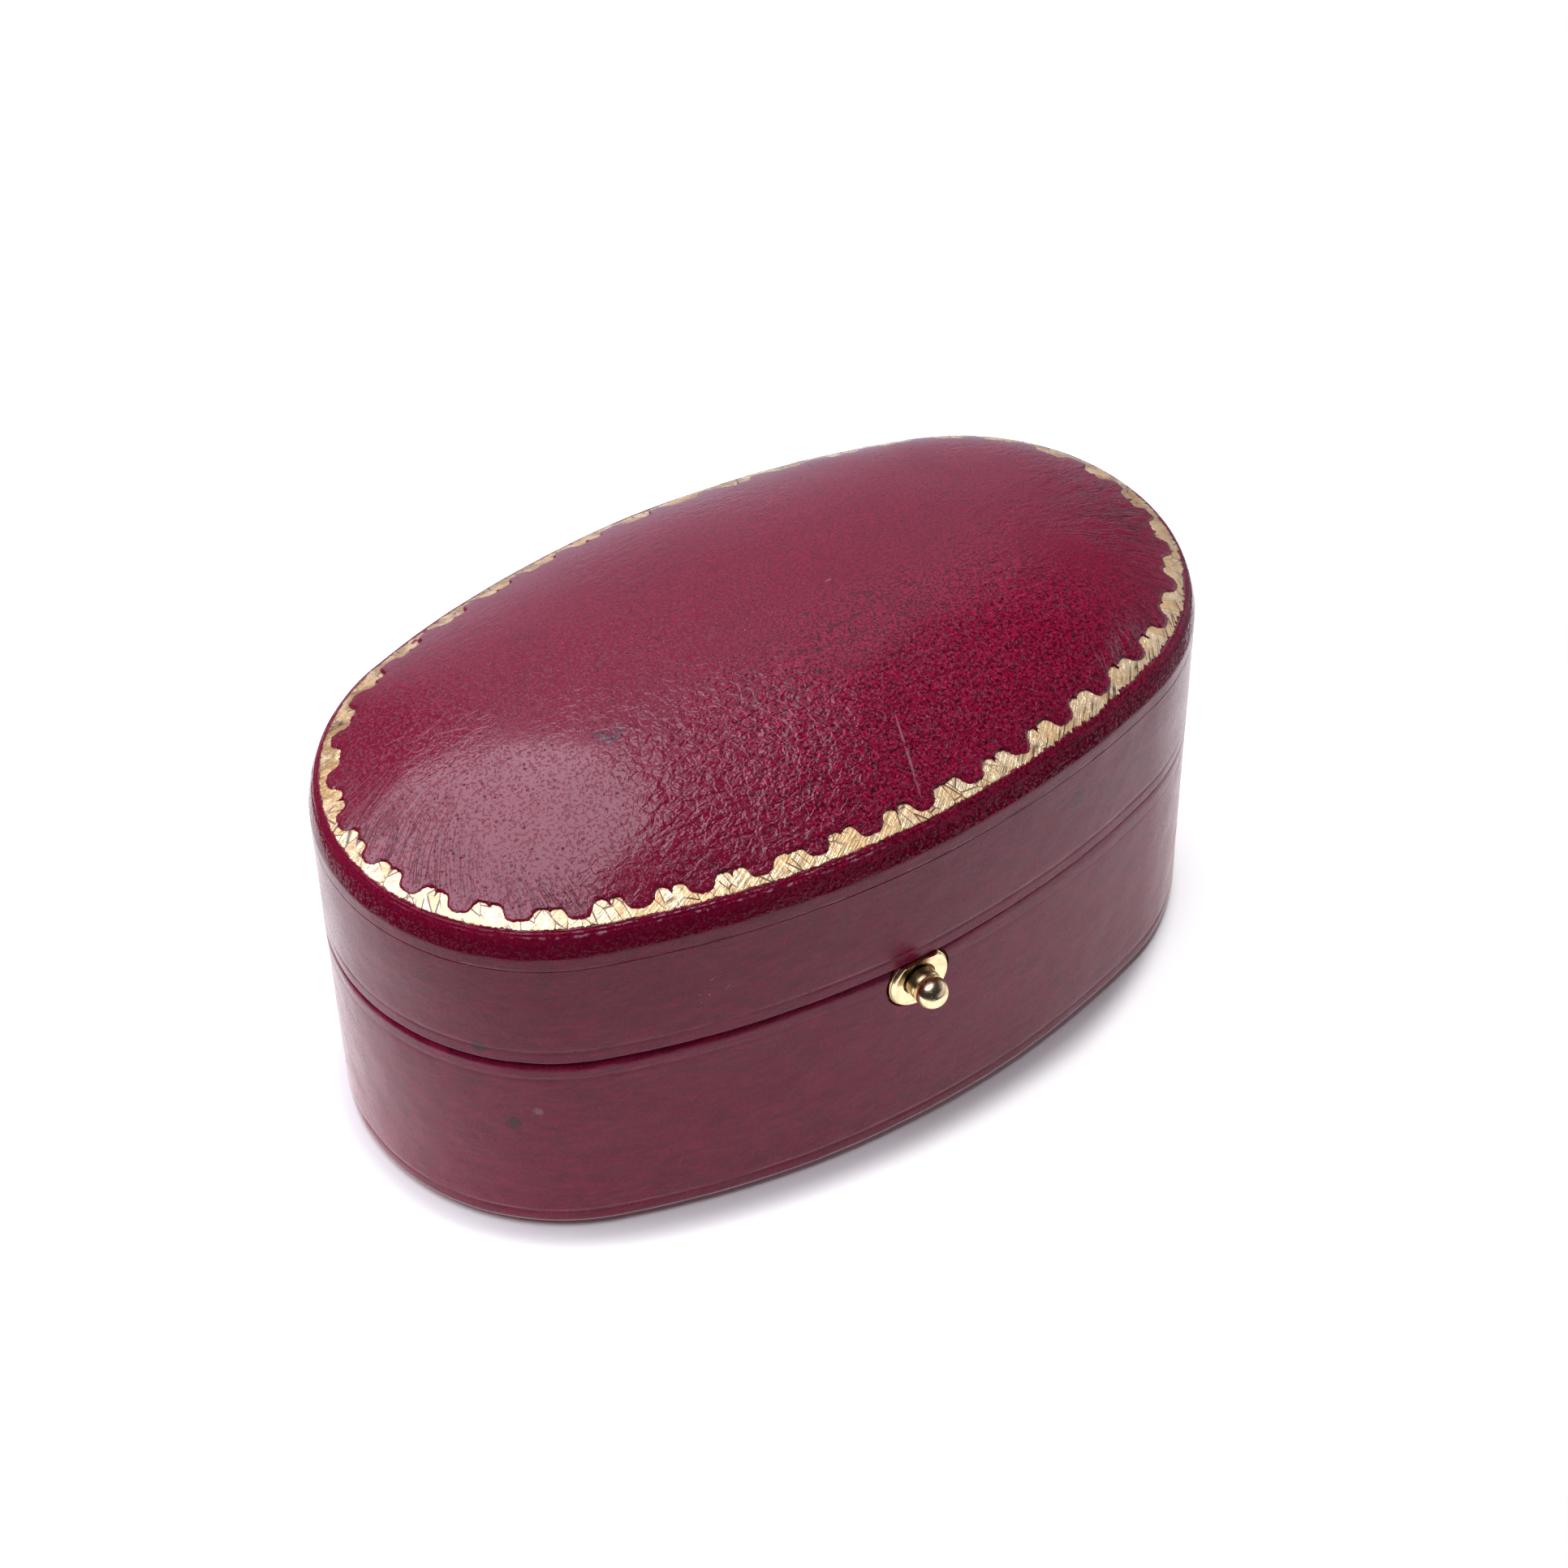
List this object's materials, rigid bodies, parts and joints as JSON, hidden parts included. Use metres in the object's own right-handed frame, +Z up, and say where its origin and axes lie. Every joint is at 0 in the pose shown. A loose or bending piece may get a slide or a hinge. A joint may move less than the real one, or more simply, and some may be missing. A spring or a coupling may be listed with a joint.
{
  "type": "leather jewellery case",
  "caption": "Oval leather jewellery case with a padded domed lid, gilt scalloped border, brass push-button catch and back hinge, lined for a ring or small jewels.",
  "frame": {"origin": "middle of the flat face that the case stands on, under the centre of its oval plan", "axes": "+Z up, X along the oval's long axis, -Y towards the front with the push button, +Y towards the hinge"},
  "size_m": [0.075, 0.047, 0.0384],
  "materials": {
    "burgundy_leather": "grained, satin, worn",
    "carcass_wood": "plain sawn, unfinished",
    "cream_velvet": "short velvet pile",
    "cream_satin": "satin weave",
    "wadding": "matted cotton",
    "grey_card": "matt board",
    "aged_brass": "polished, tarnished"
  },
  "bodies": {
    "base": {"bottom_panel": "burgundy_leather", "base_floor": "carcass_wood", "base_wall": "carcass_wood", "base_leather": "burgundy_leather", "base_lining": "cream_velvet", "pad_board": "grey_card", "ring_pad_front": "cream_velvet", "ring_pad_back": "cream_velvet", "hinge_base_leaf": "aged_brass", "hinge_pin": "aged_brass", "hinge_base_brads": "aged_brass", "catch_plate": "aged_brass", "catch_plate_pins": "aged_brass", "catch_spring": "aged_brass", "spring_rivets": "aged_brass"},
    "lid": {"lid_wall": "carcass_wood", "lid_board": "carcass_wood", "lid_padding": "wadding", "lid_cap_leather": "burgundy_leather", "lid_side_leather": "burgundy_leather", "lid_lining": "cream_satin", "lid_pad": "cream_satin", "hinge_lid_leaf": "aged_brass", "hinge_lid_brads": "aged_brass", "keeper_plate": "aged_brass", "keeper_pins": "aged_brass"},
    "button": {"push_button": "aged_brass", "button_washer": "aged_brass"}
  },
  "joints": [
    {"name": "lid_hinge", "type": "hinge", "parent": "base", "child": "lid", "pos_m": [0, 0.0206, 0.0195], "axis": [-1, 0, 0], "range_deg": [0, 100]},
    {"name": "button_press", "type": "slide", "parent": "base", "child": "button", "axis": [0, 1, 0], "range_m": [0, 0.0006], "stiffness_N_per_m": 300, "springref_m": -0.0005, "deforming": ["catch_spring"]}
  ]
}
